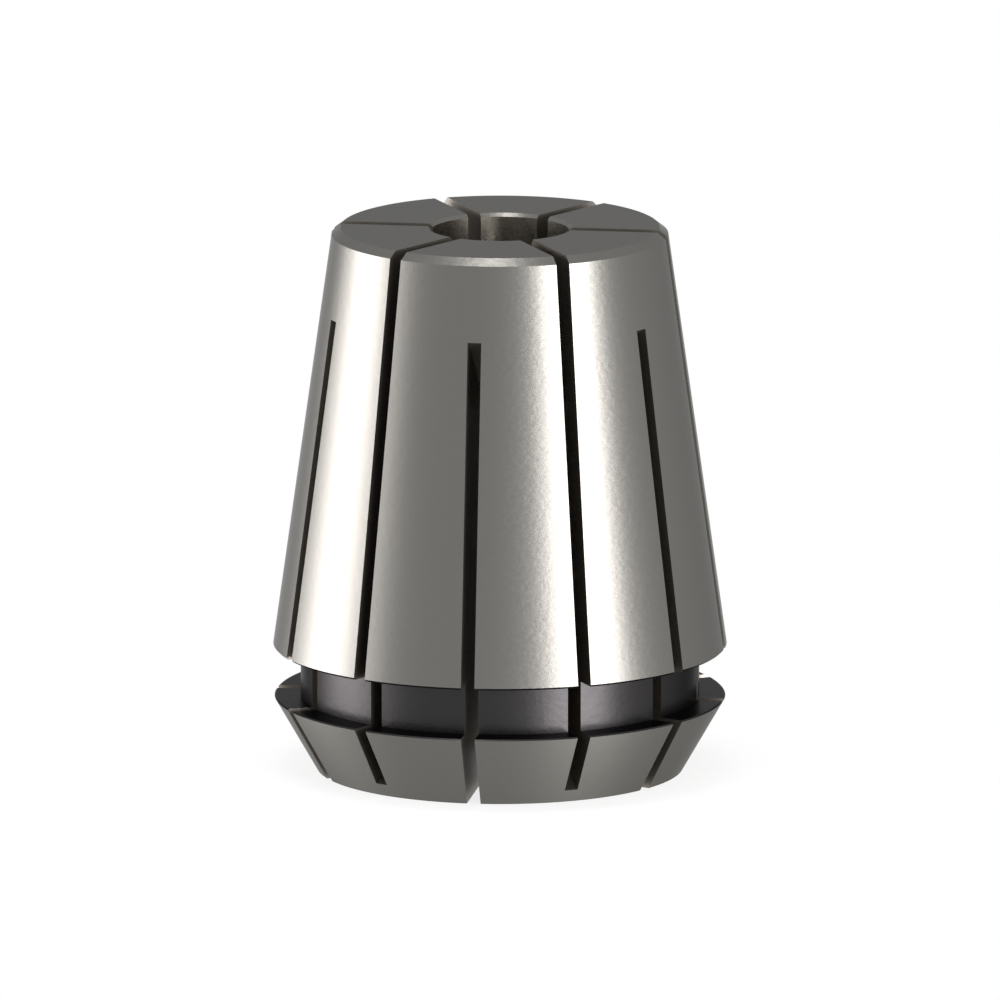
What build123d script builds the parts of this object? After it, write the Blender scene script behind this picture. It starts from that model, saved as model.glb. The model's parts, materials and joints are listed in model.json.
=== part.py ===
from build123d import *
import os
from math import copysign, radians, sqrt, tan

# Spring collet of the double-slotted taper form, one piece of hardened and ground steel.
#
# Frame: the bore's axis is Z, the origin is the centre of the large-end face, and +Z runs to the small
# end.  The collet stands on its large-end face.  Millimetres and degrees.
#
# From the large end up, the outside is the cone that the clamping nut presses on, the flange that the
# cone ends in, the groove that the nut's ejector ring hooks into, and the long locating taper.  Six saw
# slots come in from each end, in turn, and each stops short of the other end, so that the twelve leaves
# stay joined in one piece and close evenly on the shank.

# ---- driving dimensions ----

# Overall
length = 40.0                    # large-end face to small-end face
bore_diameter = 10.0             # nominal size of the shank that it holds
bore_mouth_chamfer = 0.25        # 45 degree lead-in at both mouths
edge_break = 0.1                 # 45 degree break on the flange's and the taper's large-diameter corners

# Nut cone and flange
flange_diameter = 32.8           # widest part of the nut cone
nut_cone_half_angle = 30.0
flange_height = 5.4              # large-end face to the flange's upper face

# Ejector groove
groove_diameter = 29.0
groove_width = 3.65              # flange's upper face to the taper's shoulder

# Locating taper
taper_major_diameter = 33.0      # largest diameter of the collet, just above the shoulder
taper_half_angle = 8.0
end_chamfer_height = 0.5         # small-end chamfer, along the axis
end_chamfer_depth = 0.65         # small-end chamfer, towards the axis

# Saw slots
slots_per_end = 6
slot_width = 1.0
first_slot_angle = -90.0         # one slot of the large end opens towards -Y
large_end_bridge = 0.95          # left below a small-end slot, on the nut cone's surface
small_end_bridge = 6.0           # left above a large-end slot, on the taper's surface
saw_diameter = 63.0              # the slitting saw, whose rim shapes the closed ends
saw_clearance = 2.0              # gap left between the saw's rim and the far wall of the bore

# ---- relations ----

bore_radius = bore_diameter / 2
bore_mouth_radius = bore_radius + bore_mouth_chamfer

flange_radius = flange_diameter / 2
flange_corner_height = flange_height - edge_break
nut_cone_slope = tan(radians(nut_cone_half_angle))
nut_cone_small_radius = flange_radius - flange_corner_height * nut_cone_slope

groove_radius = groove_diameter / 2
shoulder_height = flange_height + groove_width

taper_major_radius = taper_major_diameter / 2
taper_start_height = shoulder_height + edge_break
taper_slope = tan(radians(taper_half_angle))
end_chamfer_start_height = length - end_chamfer_height


def nut_cone_radius(height):
    """Radius of the nut cone, which widens upwards from the large-end face."""
    return nut_cone_small_radius + height * nut_cone_slope


def taper_radius(height):
    """Radius of the locating taper, which narrows from its major diameter to the small end."""
    return taper_major_radius - (height - taper_start_height) * taper_slope


taper_minor_radius = taper_radius(end_chamfer_start_height)
end_face_radius = taper_minor_radius - end_chamfer_depth

saw_radius = saw_diameter / 2
saw_floor = saw_clearance - bore_radius    # how far the rim reaches, past the axis of the bore
saw_centre_radius = saw_floor + saw_radius
slot_pitch = 360.0 / slots_per_end
seam_angle = first_slot_angle + slot_pitch / 4   # where the turned faces close, in the middle of a leaf
large_end_slot_stop = length - small_end_bridge
run_out = length                           # how far a kerf is drawn past the end that it opens


def turned_blank():
    """The collet before slotting: its half section, turned once round the axis."""
    large_end_face = [
        (bore_mouth_radius, 0),
        (nut_cone_small_radius, 0),
    ]
    flange = [
        (flange_radius, flange_corner_height),
        (flange_radius - edge_break, flange_height),
    ]
    groove = [
        (groove_radius, flange_height),
        (groove_radius, shoulder_height),
    ]
    locating_taper = [
        (taper_major_radius - edge_break, shoulder_height),
        (taper_major_radius, taper_start_height),
        (taper_minor_radius, end_chamfer_start_height),
    ]
    small_end_face = [
        (end_face_radius, length),
        (bore_mouth_radius, length),
    ]
    bore = [
        (bore_radius, length - bore_mouth_chamfer),
        (bore_radius, bore_mouth_chamfer),
    ]
    corners = large_end_face + flange + groove + locating_taper + small_end_face + bore
    half_section = Plane.XZ * make_face(Polyline(*corners, close=True))
    return Rot(Z=seam_angle) * revolve(half_section, Axis.Z)


def saw_kerf(stop_radius, stop_height, open_height):
    """One saw slot, in the XZ plane, from the height where it opens to where it stops on the outside.

    The disc travels along the axis, so the kerf has a straight floor inside the bore, and its closed
    end is a quarter of the disc's rim, placed to cross the outside at the stop point.
    """
    opening_side = copysign(1, open_height - stop_height)
    rim_rise = sqrt(saw_radius**2 - (saw_centre_radius - stop_radius) ** 2)
    centre_height = stop_height + opening_side * rim_rise
    far_height = open_height + opening_side * run_out
    floor_end = (saw_floor, centre_height)
    rim_end = (saw_centre_radius, centre_height - opening_side * saw_radius)
    floor_start = (saw_floor, far_height)
    outer_corner = (saw_centre_radius, far_height)
    outline = (
        Line(floor_start, floor_end)
        + TangentArc(floor_end, rim_end, tangent=(0, -opening_side))
        + Polyline(rim_end, outer_corner, floor_start)
    )
    side = Plane.XZ * make_face(outline)
    return extrude(side, slot_width / 2, both=True)


def slot_ring(kerf, start_angle):
    """The kerf repeated evenly round the axis."""
    return [place * kerf for place in PolarLocations(0, slots_per_end, start_angle)]


def build_collet():
    """The turned blank with both rings of slots sawn, half a pitch apart."""
    from_large_end = saw_kerf(taper_radius(large_end_slot_stop), large_end_slot_stop, 0)
    from_small_end = saw_kerf(nut_cone_radius(large_end_bridge), large_end_bridge, length)
    collet = turned_blank()
    collet -= slot_ring(from_large_end, first_slot_angle)
    collet -= slot_ring(from_small_end, first_slot_angle + slot_pitch / 2)
    return collet.solid()


os.makedirs("parts", exist_ok=True)
export_step(build_collet(), "parts/collet.step")
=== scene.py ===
import json
from math import cos, pi, radians, sin, tan

import bpy
import numpy as np
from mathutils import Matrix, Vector


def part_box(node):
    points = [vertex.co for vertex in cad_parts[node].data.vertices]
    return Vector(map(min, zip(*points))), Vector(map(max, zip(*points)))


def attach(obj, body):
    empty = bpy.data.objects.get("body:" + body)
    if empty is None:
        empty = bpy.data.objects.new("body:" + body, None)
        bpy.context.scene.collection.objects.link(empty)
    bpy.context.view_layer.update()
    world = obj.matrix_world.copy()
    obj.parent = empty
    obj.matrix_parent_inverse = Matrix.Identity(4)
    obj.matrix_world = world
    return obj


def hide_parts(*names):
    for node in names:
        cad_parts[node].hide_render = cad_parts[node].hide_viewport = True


# A spring collet of the double-slotted taper form, one piece of hardened and ground steel, standing on its
# large end with the bore's axis on Z.
#
# The collet is one closed surface: its half section is carried round the axis, the slots are left out of
# it, and each slot gets two flat walls and the curved end that the saw leaves.  Sizes are in millimetres,
# and become metres when the mesh is made.

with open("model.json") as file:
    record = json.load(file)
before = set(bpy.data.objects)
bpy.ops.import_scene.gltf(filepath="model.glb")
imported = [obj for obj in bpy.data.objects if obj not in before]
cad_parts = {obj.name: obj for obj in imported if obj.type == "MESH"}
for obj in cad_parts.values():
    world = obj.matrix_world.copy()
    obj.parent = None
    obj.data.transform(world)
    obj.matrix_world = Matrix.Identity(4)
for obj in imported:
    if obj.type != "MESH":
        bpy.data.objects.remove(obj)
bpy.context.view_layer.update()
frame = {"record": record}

MM = 0.001

# ---- sizes, as the collet is turned, ground and sawn ----

SHANK_BORE = next(mount for mount in frame["record"]["mounts"] if mount["name"] == "shank_bore")
BORE_RADIUS = SHANK_BORE["dims"]["r_mm"]
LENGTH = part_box("collet")[1].z / MM
MOUTH_CHAMFER = 0.25

FLANGE_RADIUS = 16.4
FLANGE_HEIGHT = 5.4
FLANGE_EDGE_BREAK = 0.1
NUT_CONE_SLOPE = tan(radians(30))

GROOVE_RADIUS = 14.5
GROOVE_WIDTH = 3.65

TAPER_RADIUS = 16.5
TAPER_RADIUS_HEIGHT = 9.15
TAPER_EDGE_BREAK = 0.15
TAPER_SLOPE = tan(radians(8))
END_CHAMFER_HEIGHT = 0.5
END_CHAMFER_DEPTH = 0.65

SLOTS_PER_END = 6
SLOT_HALF_WIDTH = 0.5
FIRST_SLOT_ANGLE = -pi / 2
LARGE_END_BRIDGE = 0.95
SMALL_END_BRIDGE = 6.0
SAW_RADIUS = 31.5
SAW_CLEARANCE = 2.0

MOUTH_RADIUS = BORE_RADIUS + MOUTH_CHAMFER
FLANGE_CORNER_HEIGHT = FLANGE_HEIGHT - FLANGE_EDGE_BREAK
SHOULDER_HEIGHT = FLANGE_HEIGHT + GROOVE_WIDTH
TAPER_EDGE_HEIGHT = SHOULDER_HEIGHT + TAPER_EDGE_BREAK
END_CHAMFER_START = LENGTH - END_CHAMFER_HEIGHT


def nut_cone_radius(height):
    """Radius of the nut cone: the flange's radius less the slope times the height below its corner."""
    return FLANGE_RADIUS - (FLANGE_CORNER_HEIGHT - height) * NUT_CONE_SLOPE


def taper_radius(height):
    """Radius of the taper: its largest radius less the slope times the height above where that is."""
    return TAPER_RADIUS - (height - TAPER_RADIUS_HEIGHT) * TAPER_SLOPE


# The saw's rim shapes the closed end of each slot.  Its centre runs this far from the bore's axis, and the
# rim crosses the outside of the collet where the bridge that joins two leaves begins.

SAW_CENTRE_RADIUS = SAW_RADIUS + SAW_CLEARANCE - BORE_RADIUS
LARGE_SLOT_STOP = LENGTH - SMALL_END_BRIDGE
SMALL_SLOT_STOP = LARGE_END_BRIDGE


def rim_rise(radius):
    """Height from the saw's centre to its rim, as the leg of a right triangle on the saw's radius."""
    return np.sqrt(SAW_RADIUS**2 - (SAW_CENTRE_RADIUS - radius) ** 2)


LARGE_SLOT_SAW_HEIGHT = LARGE_SLOT_STOP - rim_rise(taper_radius(LARGE_SLOT_STOP))
SMALL_SLOT_SAW_HEIGHT = SMALL_SLOT_STOP + rim_rise(nut_cone_radius(SMALL_SLOT_STOP))


def large_slot_end(radius):
    """Height where a slot from the large end stops, which is the saw's upper rim."""
    return LARGE_SLOT_SAW_HEIGHT + rim_rise(radius)


def small_slot_end(radius):
    """Height where a slot from the small end stops, which is the saw's lower rim."""
    return SMALL_SLOT_SAW_HEIGHT - rim_rise(radius)


# ---- nodes ----


def add_node(tree, kind, links=None, **settings):
    """Node with settings, which name its properties or its inputs with _ for a space, and with links."""
    node = tree.nodes.new(kind)
    for name, value in settings.items():
        if hasattr(node, name):
            setattr(node, name, value)
        else:
            node.inputs[name.replace("_", " ")].default_value = value
    for name, source in (links or {}).items():
        tree.links.new(source, node.inputs[name])
    return node


def colour(hex_code):
    """Linear RGBA of an sRGB hex code: a channel over 12.92 near black, and a power of 2.4 above that."""
    channels = np.array([int(hex_code[i : i + 2], 16) for i in (1, 3, 5)]) / 255
    linear = np.where(channels <= 0.04045, channels / 12.92, ((channels + 0.055) / 1.055) ** 2.4)
    return (*linear.tolist(), 1.0)


# ---- finishes of the steel ----

# A grinding wheel's grit leaves lines some 0.02 mm apart, much too fine to show.  The marks are drawn
# 0.45 mm long, and lower than long because they run round the axis, so that the edge of a lamp's
# reflection breaks up a little on them.
MARK_LENGTH = 0.45
MARK_DEPTH = 0.009
MARK_LENGTH_TO_HEIGHT = 1.5
MARK_ROUGHNESS = 0.01

# Most of the noise that draws the marks lies between these two values.
NOISE_LOW = 0.35
NOISE_HIGH = 0.65


def steel(name, base, edge_tint, roughness, mark_depth=MARK_DEPTH):
    """Bare steel with fine tool marks: noise in the object's space, as bumps and changes of roughness."""
    material = bpy.data.materials.new(name)
    material.use_nodes = True
    tree = material.node_tree
    place = add_node(tree, "ShaderNodeTexCoord").outputs["Object"]
    round_axis = add_node(tree, "ShaderNodeVectorMath", {0: place}, operation="MULTIPLY")
    round_axis.inputs[1].default_value = (1, 1, MARK_LENGTH_TO_HEIGHT)
    noise = add_node(tree, "ShaderNodeTexNoise", {"Vector": round_axis.outputs[0]}, Detail=2.0)
    noise.inputs["Scale"].default_value = 1 / (MARK_LENGTH * MM)
    marks = noise.outputs["Fac"]
    bump = add_node(tree, "ShaderNodeBump", {"Height": marks}, Strength=1.0, Distance=mark_depth * MM)
    gloss = add_node(tree, "ShaderNodeMapRange", {"Value": marks}, From_Min=NOISE_LOW, From_Max=NOISE_HIGH)
    gloss.inputs["To Min"].default_value = roughness - MARK_ROUGHNESS
    gloss.inputs["To Max"].default_value = roughness + MARK_ROUGHNESS
    shader = tree.nodes["Principled BSDF"]
    shader.inputs["Metallic"].default_value = 1.0
    shader.inputs["Base Color"].default_value = colour(base)
    shader.inputs["Specular Tint"].default_value = colour(edge_tint)
    tree.links.new(gloss.outputs["Result"], shader.inputs["Roughness"])
    tree.links.new(bump.outputs["Normal"], shader.inputs["Normal"])
    return material


def ground_tool_steel():
    """Hardened tool steel, cylindrically ground: a fine satin, which shows lamps as soft upright bands."""
    return steel("ground_tool_steel", "#6c6b68", "#c3c3c3", 0.31)


def faced_tool_steel():
    """The same steel, faced square to the axis: as grey and as even, and duller at a low angle."""
    return steel("faced_tool_steel", "#6e6d6a", "#aeaeae", 0.33)


def ground_nut_cone():
    """Steel ground with a coarser wheel: its lines run round the cone and smear lamps along the slope."""
    material = steel("ground_nut_cone", "#6e6d69", "#c3c3c3", 0.45)
    tree = material.node_tree
    shader = tree.nodes["Principled BSDF"]
    shader.inputs["Anisotropic"].default_value = 0.75
    shader.inputs["Anisotropic Rotation"].default_value = 0.25
    round_axis = add_node(tree, "ShaderNodeTangent", direction_type="RADIAL", axis="Z")
    tree.links.new(round_axis.outputs[0], shader.inputs["Tangent"])
    return material


def heat_blackened_steel():
    """Turned steel with the dark skin of its heat treatment: near black, smooth and all but neutral."""
    return steel("heat_blackened_steel", "#353435", "#a9a9a9", 0.32)


def honed_tool_steel():
    """The bore, honed to size: sharper than the ground outside and a little warm, and brighter, partly as
    honed steel is and partly as painted light, a paler base that stands in for light reaching into the
    bore.
    """
    return steel("honed_tool_steel", "#9d988f", "#c3c3c3", 0.28, mark_depth=0.003)


def sawn_steel():
    """The slots' sides, left by the slitting saw: dull and brownish, with no clear reflections, and paler
    than the ground steel, partly as painted light, a base that stands in for light reaching into the slots.
    """
    return steel("sawn_steel", "#8c8780", "#d0d0d0", 0.38, mark_depth=0.004)


FINISHES = (
    ground_tool_steel,
    faced_tool_steel,
    ground_nut_cone,
    heat_blackened_steel,
    honed_tool_steel,
    sawn_steel,
)
# The honed bore's paler base is partly painted light, standing in for light that reaches into the bore.
# The sawn slot sides' paler base is partly painted light, standing in for light that reaches into the
# slots.
GROUND, FACED, NUT_CONE, BLACK, HONED_WITH_PAINTED_LIGHT, SAWN_WITH_PAINTED_LIGHT = range(len(FINISHES))

# ---- the collet ----

# Cells of the mesh across a slot, across the leaf between two slots, and along a slot's curved end.
SLOT_CELLS = 2
LEAF_CELLS = 20
RIM_CELLS = 14
SHARP_ANGLE = radians(25)

SLOTS = 2 * SLOTS_PER_END
PITCH = 2 * pi / SLOTS
PITCH_CELLS = SLOT_CELLS + LEAF_CELLS
ACROSS_SLOT = np.linspace(-SLOT_HALF_WIDTH, SLOT_HALF_WIDTH, SLOT_CELLS + 1)


def half_section():
    """Corners of the half section, from the large end's mouth outwards, up, and back down through the bore.

    Each has a name, a radius and a height, then the number of cells to the next corner and their finish.
    """
    return [
        ("large_face", MOUTH_RADIUS, 0, 8, FACED),
        ("nut_cone", nut_cone_radius(0), 0, 2, NUT_CONE),
        ("small_slot_outside", nut_cone_radius(SMALL_SLOT_STOP), SMALL_SLOT_STOP, 8, NUT_CONE),
        ("flange_edge", FLANGE_RADIUS, FLANGE_CORNER_HEIGHT, 1, BLACK),
        ("flange_top", FLANGE_RADIUS - FLANGE_EDGE_BREAK, FLANGE_HEIGHT, 3, BLACK),
        ("groove", GROOVE_RADIUS, FLANGE_HEIGHT, 4, BLACK),
        ("shoulder", GROOVE_RADIUS, SHOULDER_HEIGHT, 3, BLACK),
        ("taper_edge", taper_radius(TAPER_EDGE_HEIGHT) - TAPER_EDGE_BREAK, SHOULDER_HEIGHT, 1, BLACK),
        ("taper", taper_radius(TAPER_EDGE_HEIGHT), TAPER_EDGE_HEIGHT, 30, GROUND),
        ("large_slot_outside", taper_radius(LARGE_SLOT_STOP), LARGE_SLOT_STOP, 8, GROUND),
        ("end_chamfer", taper_radius(END_CHAMFER_START), END_CHAMFER_START, 1, GROUND),
        ("small_face", taper_radius(END_CHAMFER_START) - END_CHAMFER_DEPTH, LENGTH, 8, FACED),
        ("small_mouth", MOUTH_RADIUS, LENGTH, 1, GROUND),
        ("bore", BORE_RADIUS, LENGTH - MOUTH_CHAMFER, 12, HONED_WITH_PAINTED_LIGHT),
        ("large_slot_inside", BORE_RADIUS, large_slot_end(BORE_RADIUS), 20, HONED_WITH_PAINTED_LIGHT),
        ("small_slot_inside", BORE_RADIUS, small_slot_end(BORE_RADIUS), 8, HONED_WITH_PAINTED_LIGHT),
        ("large_mouth", BORE_RADIUS, MOUTH_CHAMFER, 1, HONED_WITH_PAINTED_LIGHT),
    ]


def section_rows():
    """Points round the half section, the finish after each, and the row of each named corner.

    Each stretch is divided evenly: start + share * (end - start), for shares from 0 up to, but not, 1.
    """
    names, radius, height, cells, finish = zip(*half_section())
    start = np.stack([radius, height], axis=-1)
    stretch = np.roll(start, -1, axis=0) - start
    first_row = np.cumsum((0,) + cells[:-1])
    share = (np.arange(sum(cells)) - np.repeat(first_row, cells)) / np.repeat(cells, cells)
    points = np.repeat(start, cells, axis=0) + share[:, None] * np.repeat(stretch, cells, axis=0)
    return points, np.repeat(finish, cells), dict(zip(names, first_row.tolist()))


def column_angles(radius):
    """Angle of each column at each radius.

    Across a slot it is the arcsine of the place across the slot over the radius, so that a slot keeps its
    width at every radius, and between two slots the leaf is divided evenly.
    """
    across = np.arcsin(ACROSS_SLOT / radius[:, None])
    share = np.arange(LEAF_CELLS) / LEAF_CELLS
    leaf = across[:, -1:] + share * (PITCH - 2 * across[:, -1:])
    one_pitch = np.concatenate([across[:, :-1], leaf], axis=1)
    slot_angle = FIRST_SLOT_ANGLE + PITCH * np.arange(SLOTS)
    return (slot_angle[:, None] + one_pitch[:, None, :]).reshape(len(radius), -1)


def turned_surface(points, finish):
    """The half section carried round the axis, less the cells in the slots: (r cos a, r sin a, z)."""
    radius, height = points.T
    angle = column_angles(radius)
    x = radius[:, None] * np.cos(angle)
    y = radius[:, None] * np.sin(angle)
    place = np.stack(np.broadcast_arrays(x, y, height[:, None]), axis=-1)
    index = np.arange(angle.size).reshape(angle.shape)
    beside = np.roll(index, -1, axis=1)
    cells = np.stack([index, beside, np.roll(beside, -1, axis=0), np.roll(index, -1, axis=0)], axis=-1)

    middle_radius, middle_height = ((points + np.roll(points, -1, axis=0)) / 2).T
    from_large_end = middle_height < large_slot_end(middle_radius)
    from_small_end = middle_height > small_slot_end(middle_radius)
    column = np.arange(angle.shape[1])
    is_large = column // PITCH_CELLS % 2 == 0
    is_slot = column % PITCH_CELLS < SLOT_CELLS
    kept = ~(np.where(is_large, from_large_end[:, None], from_small_end[:, None]) & is_slot)
    finishes = np.broadcast_to(finish[:, None], kept.shape)
    return place.reshape(-1, 3), index, cells[kept].tolist(), finishes[kept].tolist()


def slot_end_points(slot, outside_radius, inside_radius):
    """Points on a slot's closed end, in rows from the outside to the bore, less the first and last row.

    A point's height is that of the saw's rim at the radius there, and its place along the slot is the share
    between the outside and the bore.
    """
    end_height = large_slot_end if slot % 2 == 0 else small_slot_end
    share = np.linspace(0, 1, RIM_CELLS + 1)[1:-1, None]
    outside_reach = np.sqrt(outside_radius**2 - ACROSS_SLOT**2)
    inside_reach = np.sqrt(inside_radius**2 - ACROSS_SLOT**2)
    along = outside_reach + share * (inside_reach - outside_reach)
    height = end_height(outside_radius + share * (inside_radius - outside_radius))
    angle = FIRST_SLOT_ANGLE + PITCH * slot
    x = along * cos(angle) - ACROSS_SLOT * sin(angle)
    y = along * sin(angle) + ACROSS_SLOT * cos(angle)
    return np.stack(np.broadcast_arrays(x, y, height), axis=-1)


def slot_surfaces(slot, points, row, index, first_index):
    """New points and faces of one slot, for its closed end and its two walls.

    The points count on from the first index.  The end is a grid, whose first and last rows are the turned
    surface's own points.  A wall is one flat face, whose outline follows the half section and comes back
    along the edge of the end.
    """
    large = slot % 2 == 0
    outside = row["large_slot_outside" if large else "small_slot_outside"]
    inside = row["large_slot_inside" if large else "small_slot_inside"]
    columns = slot * PITCH_CELLS + np.arange(SLOT_CELLS + 1)
    place = slot_end_points(slot, points[outside, 0], points[inside, 0])
    new_index = first_index + np.arange(place[..., 0].size).reshape(place.shape[:2])

    grid = np.concatenate([index[outside, columns][None], new_index, index[inside, columns][None]])
    cells = np.stack([grid[:-1, :-1], grid[1:, :-1], grid[1:, 1:], grid[:-1, 1:]], axis=-1).reshape(-1, 4)
    rows = np.arange(inside - len(points), outside + 1) if large else np.arange(outside, inside + 1)
    back = new_index if large else new_index[::-1]
    first_wall = np.concatenate([index[rows, columns[0]], back[:, 0]])[::-1]
    second_wall = np.concatenate([index[rows, columns[-1]], back[:, -1]])
    end_faces = cells if large else cells[:, ::-1]
    return place.reshape(-1, 3), end_faces.tolist() + [first_wall.tolist(), second_wall.tolist()]


def collet_mesh():
    """The turned surface with its slots, without unused points, and with the turned corners kept sharp."""
    points, finish, row = section_rows()
    place, index, faces, finishes = turned_surface(points, finish)
    places = [place]
    point_count = len(place)
    for slot in range(SLOTS):
        place, slot_faces = slot_surfaces(slot, points, row, index, point_count)
        places.append(place)
        point_count += len(place)
        faces += slot_faces
        finishes += [SAWN_WITH_PAINTED_LIGHT] * len(slot_faces)
    used, corners = np.unique(np.concatenate(faces), return_inverse=True)
    ends = np.cumsum([len(face) for face in faces])[:-1]
    mesh = bpy.data.meshes.new("ground_collet")
    vertices = np.concatenate(places)[used] * MM
    mesh.from_pydata(vertices.tolist(), [], [face.tolist() for face in np.split(corners, ends)])
    mesh.polygons.foreach_set("material_index", finishes)
    mesh.polygons.foreach_set("use_smooth", np.not_equal(finishes, SAWN_WITH_PAINTED_LIGHT))
    mesh.set_sharp_from_angle(angle=SHARP_ANGLE)
    mesh.update()
    return mesh


def make_collet():
    """The whole collet, which stands for the solid."""
    mesh = collet_mesh()
    for finish in FINISHES:
        mesh.materials.append(finish())
    collet = bpy.data.objects.new("ground_collet", mesh)
    bpy.context.scene.collection.objects.link(collet)
    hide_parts("collet")
    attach(collet, "root")


make_collet()

# ---- camera ----

CAMERA_AZIMUTH = radians(8.19)
CAMERA_ELEVATION = radians(11.73)
CAMERA_DISTANCE = 2800
AIM_HEIGHT = 19.74
VIEW_WIDTH = 72.7


def direction(azimuth, elevation):
    """Unit vector from the collet, for an azimuth that turns from -Y towards +X."""
    return Vector((sin(azimuth) * cos(elevation), -cos(azimuth) * cos(elevation), sin(elevation)))


def make_camera():
    """A camera far away, which looks a little down at the middle of the collet.

    Its lens is to the sensor's width as its distance is to the width that it takes in.
    """
    data = bpy.data.cameras.new("camera")
    data.lens = data.sensor_width * CAMERA_DISTANCE / VIEW_WIDTH
    camera = bpy.data.objects.new("camera", data)
    backwards = direction(CAMERA_AZIMUTH, CAMERA_ELEVATION)
    camera.location = (Vector((0, 0, AIM_HEIGHT)) + backwards * CAMERA_DISTANCE) * MM
    camera.rotation_euler = backwards.to_track_quat("Z", "Y").to_euler()
    bpy.context.scene.collection.objects.link(camera)
    bpy.context.scene.camera = camera


make_camera()

# ---- light ----

# The world is white all round, at the level at which a colour renders as it is written.  The softboxes are
# what the polished cones mirror: a wide key in front on the right, three that overlap on the left, which
# give a bright band that fades at both edges, and a small one overhead for the chamfer and the bore's
# mouth.  The upright ones reach below the table's top, because the groove, which is upright, mirrors what
# is below it.

WORLD_LEVEL = 1.0
LAMP_COLOUR = "#fffbfa"
LAMP_DISTANCE = 700
LAMP_LOW = -230
LAMP_HIGH = 250
OVERHEAD_AZIMUTH = -48
OVERHEAD_ELEVATION = 83


def make_world():
    """Plain white surroundings."""
    world = bpy.data.worlds.new("studio")
    world.use_nodes = True
    world.node_tree.nodes["Background"].inputs["Color"].default_value = (1, 1, 1, 1)
    world.node_tree.nodes["Background"].inputs["Strength"].default_value = WORLD_LEVEL
    bpy.context.scene.world = world


def add_softbox(name, place, towards, width, height, brightness):
    """Softbox at a place in millimetres, which shines back from its direction.

    Its power is its brightness, as a multiple of the world's, times pi times its area.
    """
    data = bpy.data.lights.new(name, "AREA")
    data.shape = "RECTANGLE"
    data.size = width * MM
    data.size_y = height * MM
    data.energy = brightness * pi * data.size * data.size_y
    data.color = colour(LAMP_COLOUR)[:3]
    lamp = bpy.data.objects.new(name, data)
    lamp.location = place * MM
    lamp.rotation_euler = towards.to_track_quat("Z", "Y").to_euler()
    lamp.visible_camera = False
    bpy.context.scene.collection.objects.link(lamp)


def add_upright_softbox(name, azimuth, width, brightness):
    """Softbox that stands beside the collet, at an azimuth in degrees from the camera's."""
    towards = direction(CAMERA_AZIMUTH + radians(azimuth), 0)
    place = towards * LAMP_DISTANCE + Vector((0, 0, (LAMP_LOW + LAMP_HIGH) / 2))
    add_softbox(name, place, towards, width, LAMP_HIGH - LAMP_LOW, brightness)


def make_lamps():
    """The key, the three on the left, and the one overhead."""
    add_upright_softbox("key_softbox", azimuth=45, width=460, brightness=12)
    add_upright_softbox("fill_softbox", azimuth=-72, width=200, brightness=2)
    add_upright_softbox("side_softbox", azimuth=-98, width=400, brightness=8.8)
    add_upright_softbox("rim_softbox", azimuth=-121, width=220, brightness=3.2)
    overhead = direction(CAMERA_AZIMUTH + radians(OVERHEAD_AZIMUTH), radians(OVERHEAD_ELEVATION))
    place = overhead * LAMP_DISTANCE
    add_softbox("overhead_softbox", place, overhead, width=120, height=250, brightness=11)


make_world()
make_lamps()

# ---- floor ----

TABLE_RADIUS = 34
TABLE_POINTS = 96
TABLE_WHITE = "#f8f8f8"
SHADOW_SHARE = 0.2


def white_card():
    """Matt white card, which shows as the white of the surroundings, with a share of its own soft shadow.

    To the camera and in reflections it is mostly a plain white at the world's level, and it is card for all
    other light.
    """
    material = bpy.data.materials.new("white_card")
    material.use_nodes = True
    tree = material.node_tree
    tree.nodes.clear()
    card = add_node(tree, "ShaderNodeBsdfDiffuse", Color=colour(TABLE_WHITE))
    white = add_node(tree, "ShaderNodeEmission", Strength=WORLD_LEVEL)
    path = add_node(tree, "ShaderNodeLightPath")
    seen = path.outputs["Is Camera Ray"]
    for ray in ("Is Glossy Ray", "Is Transmission Ray"):
        either = add_node(tree, "ShaderNodeMath", {0: seen, 1: path.outputs[ray]}, operation="MAXIMUM")
        seen = either.outputs[0]
    share = add_node(tree, "ShaderNodeMath", {0: seen}, operation="MULTIPLY")
    share.inputs[1].default_value = 1 - SHADOW_SHARE
    layers = {"Fac": share.outputs[0], 1: card.outputs[0], 2: white.outputs[0]}
    both = add_node(tree, "ShaderNodeMixShader", layers)
    add_node(tree, "ShaderNodeOutputMaterial", {"Surface": both.outputs[0]})
    return material


def make_floor():
    """Small round table top: a disc, whose edge has points at even angles and is white on white.

    It is small, so that the groove mirrors the softboxes past its edge.
    """
    turn = np.linspace(0, 2 * pi, TABLE_POINTS, endpoint=False)
    edge = np.stack([np.cos(turn), np.sin(turn), np.zeros(TABLE_POINTS)], axis=-1) * TABLE_RADIUS * MM
    mesh = bpy.data.meshes.new("floor")
    mesh.from_pydata(edge.tolist(), [], [list(range(TABLE_POINTS))])
    mesh.materials.append(white_card())
    floor = bpy.data.objects.new("floor", mesh)
    bpy.context.scene.collection.objects.link(floor)


make_floor()

bpy.context.scene.view_settings.view_transform = "Standard"
